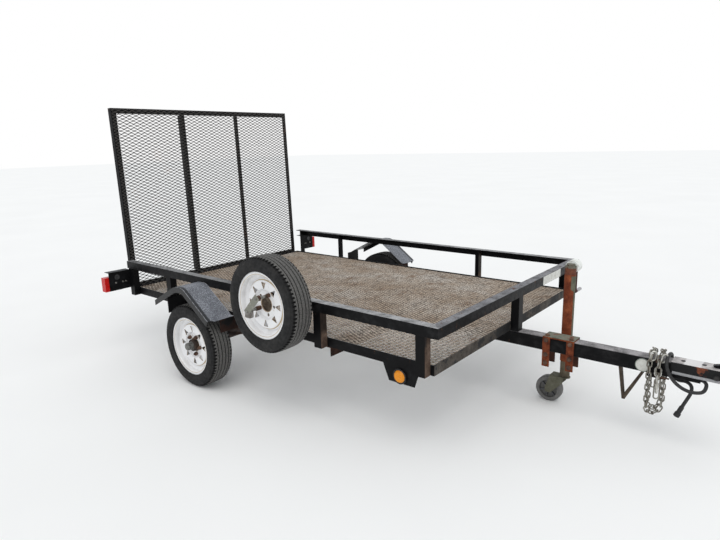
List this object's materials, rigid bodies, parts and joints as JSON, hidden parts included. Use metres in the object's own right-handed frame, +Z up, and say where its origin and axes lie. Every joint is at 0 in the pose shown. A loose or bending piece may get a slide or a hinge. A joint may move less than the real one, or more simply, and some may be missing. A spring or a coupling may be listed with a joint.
{
  "type": "utility trailer",
  "caption": "Open single-axle utility trailer with a mesh floor, angle side rails, a rear ramp gate, a swivel tongue jack and a side-mounted spare wheel.",
  "frame": {"origin": "centre of the trailer's box on the ground, between the wheels, the tongue jack's caster and the gate", "axes": "+X forward to the hitch, +Y to the left, +Z up"},
  "size_m": [3.7974, 2.134, 1.7235],
  "materials": {
    "frame_paint": "black paint, chalky grey on top, rust at the edges",
    "rail_paint": "black paint, dull",
    "post_rust": "black paint gone to brown rust",
    "mesh_steel": "expanded metal, brown-grey with worn paint",
    "gate_paint": "black paint, worn",
    "axle_steel": "dark steel with rust",
    "hub_steel": "rusty casting with a grey cap",
    "tyre_rubber": "black rubber, dusty",
    "rim_paint": "white paint with a thin gold line",
    "fender_paint": "black paint, speckled blue-grey with age",
    "bracket_rust": "rusty steel with remains of paint",
    "tail_lens": "red lens",
    "marker_lens": "amber lens in a black ring",
    "jack_rust": "orange rust over grey-green plating",
    "jack_steel": "dull plated steel",
    "caster_plastic": "grey plastic",
    "coupler_paint": "black paint with rust spots",
    "galvanised": "galvanised steel, dull",
    "cord_black": "black cable sheath",
    "plug_black": "black plastic"
  },
  "bodies": {
    "chassis": {"lower_rail_right": "rail_paint", "lower_rail_left": "rail_paint", "lower_rail_rear": "rail_paint", "lower_rail_front": "rail_paint", "floor_bearers": "rail_paint", "floor_mesh": "mesh_steel", "upper_rail_right": "frame_paint", "upper_rail_left": "frame_paint", "upper_rail_front": "frame_paint", "posts_right": "post_rust", "posts_left": "post_rust", "post_front": "post_rust", "tongue": "frame_paint", "tongue_bearer": "bracket_rust", "tongue_skid": "bracket_rust", "coupler": "coupler_paint", "coupler_latch": "coupler_paint", "axle": "axle_steel", "leaf_springs": "axle_steel", "spring_hangers": "axle_steel", "spare_tyre": "tyre_rubber", "spare_rim": "rim_paint", "spare_carrier": "bracket_rust", "fender_right": "fender_paint", "fender_left": "fender_paint", "fender_brackets": "bracket_rust", "lamp_brackets": "coupler_paint", "tail_lamps": "tail_lens", "marker_lamps": "marker_lens", "jack_tube": "jack_rust", "jack_bracket": "jack_rust", "jack_head": "jack_steel", "gate_hinges": "gate_paint", "safety_chains": "galvanised", "chain_anchor": "bracket_rust", "wiring_cord": "cord_black", "wiring_plug": "plug_black"},
    "right_wheel": {"tyre_right": "tyre_rubber", "rim_right": "rim_paint", "hub_right": "hub_steel"},
    "left_wheel": {"tyre_left": "tyre_rubber", "rim_left": "rim_paint", "hub_left": "hub_steel"},
    "ramp_gate": {"gate_stiles": "gate_paint", "gate_rails": "gate_paint", "gate_bars": "gate_paint", "gate_mesh": "mesh_steel"},
    "jack_inner": {"jack_leg": "jack_steel"},
    "caster_swivel": {"caster_fork": "jack_steel"},
    "caster_roller": {"caster_wheel": "caster_plastic"}
  },
  "joints": [
    {"name": "right_wheel_spin", "type": "hinge", "parent": "chassis", "child": "right_wheel", "pos_m": [-0.84231, -0.9415, 0.257], "axis": [0, 1, 0], "continuous": true},
    {"name": "left_wheel_spin", "type": "hinge", "parent": "chassis", "child": "left_wheel", "pos_m": [-0.84231, 0.9755, 0.257], "axis": [0, 1, 0], "continuous": true},
    {"name": "gate_hinge", "type": "hinge", "parent": "chassis", "child": "ramp_gate", "pos_m": [-1.82431, 0.017, 0.424], "axis": [0, -1, 0], "range_deg": [0, 105]},
    {"name": "jack_slide", "type": "slide", "parent": "chassis", "child": "jack_inner", "axis": [0, 0, 1], "range_m": [-0.15, 0.085]},
    {"name": "caster_swivel_turn", "type": "hinge", "parent": "jack_inner", "child": "caster_swivel", "pos_m": [1.04969, 0.102, 0.16], "axis": [0, 0, 1], "continuous": true},
    {"name": "caster_roller_spin", "type": "hinge", "parent": "caster_swivel", "child": "caster_roller", "pos_m": [0.96969, 0.102, 0.072], "axis": [0, 1, 0], "continuous": true}
  ]
}
